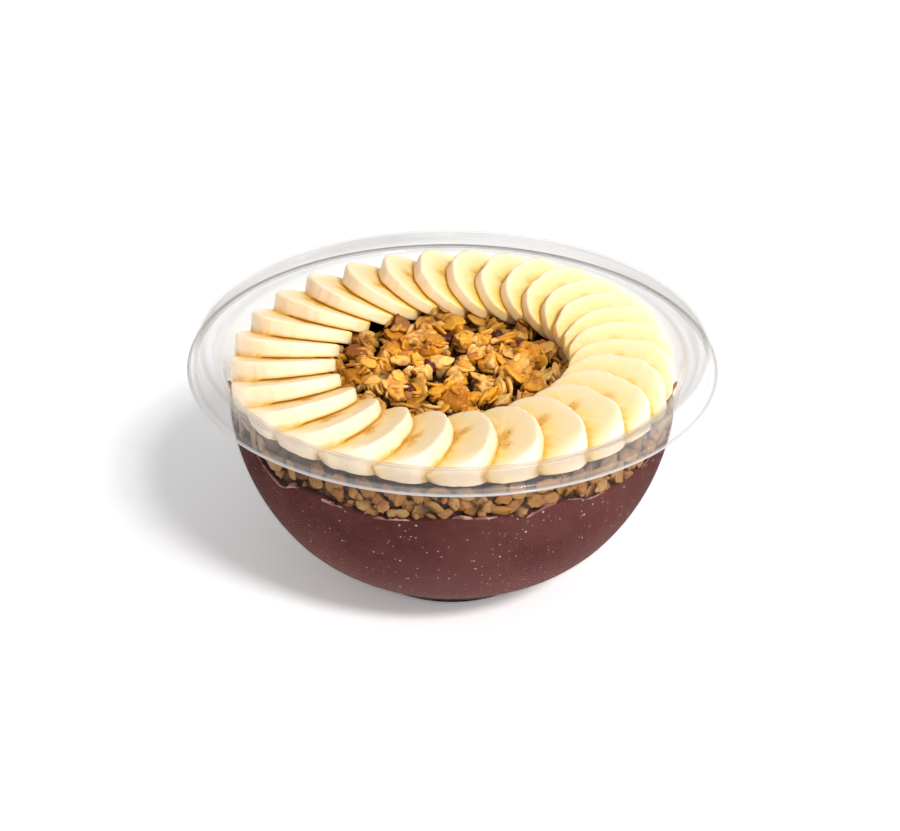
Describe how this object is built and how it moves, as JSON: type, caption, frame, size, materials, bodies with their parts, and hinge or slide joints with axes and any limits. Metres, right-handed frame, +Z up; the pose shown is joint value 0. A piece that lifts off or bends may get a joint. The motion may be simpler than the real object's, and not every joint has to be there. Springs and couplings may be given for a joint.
{
  "type": "acai bowl",
  "caption": "Clear round takeaway bowl of thick smooth acai under granola, topped by a ring of leaning banana slices round a low granola heap.",
  "frame": {"origin": "centre of the flat base of the bowl, on the surface it stands on", "axes": "+Z up along the axis of the bowl, -Y towards the viewer"},
  "size_m": [0.16, 0.16, 0.0777],
  "materials": {
    "clear_plastic": "clear thermoformed plastic, glossy",
    "acai": "smooth thick puree, satin, dusky brown purple",
    "granola": "toasted oats, dry and slightly glazed",
    "banana": "fresh cut banana, moist satin, cream yellow"
  },
  "bodies": {
    "root": {"bowl": "clear_plastic", "acai": "acai", "granola": "granola", "banana_01": "banana", "banana_02": "banana", "banana_03": "banana", "banana_04": "banana", "banana_05": "banana", "banana_06": "banana", "banana_07": "banana", "banana_08": "banana", "banana_09": "banana", "banana_10": "banana", "banana_11": "banana", "banana_12": "banana", "banana_13": "banana", "banana_14": "banana", "banana_15": "banana", "banana_16": "banana", "banana_17": "banana", "banana_18": "banana", "banana_19": "banana", "banana_20": "banana", "banana_21": "banana", "banana_22": "banana", "banana_23": "banana", "banana_24": "banana", "banana_25": "banana", "banana_26": "banana", "banana_27": "banana", "banana_28": "banana"}
  },
  "joints": []
}
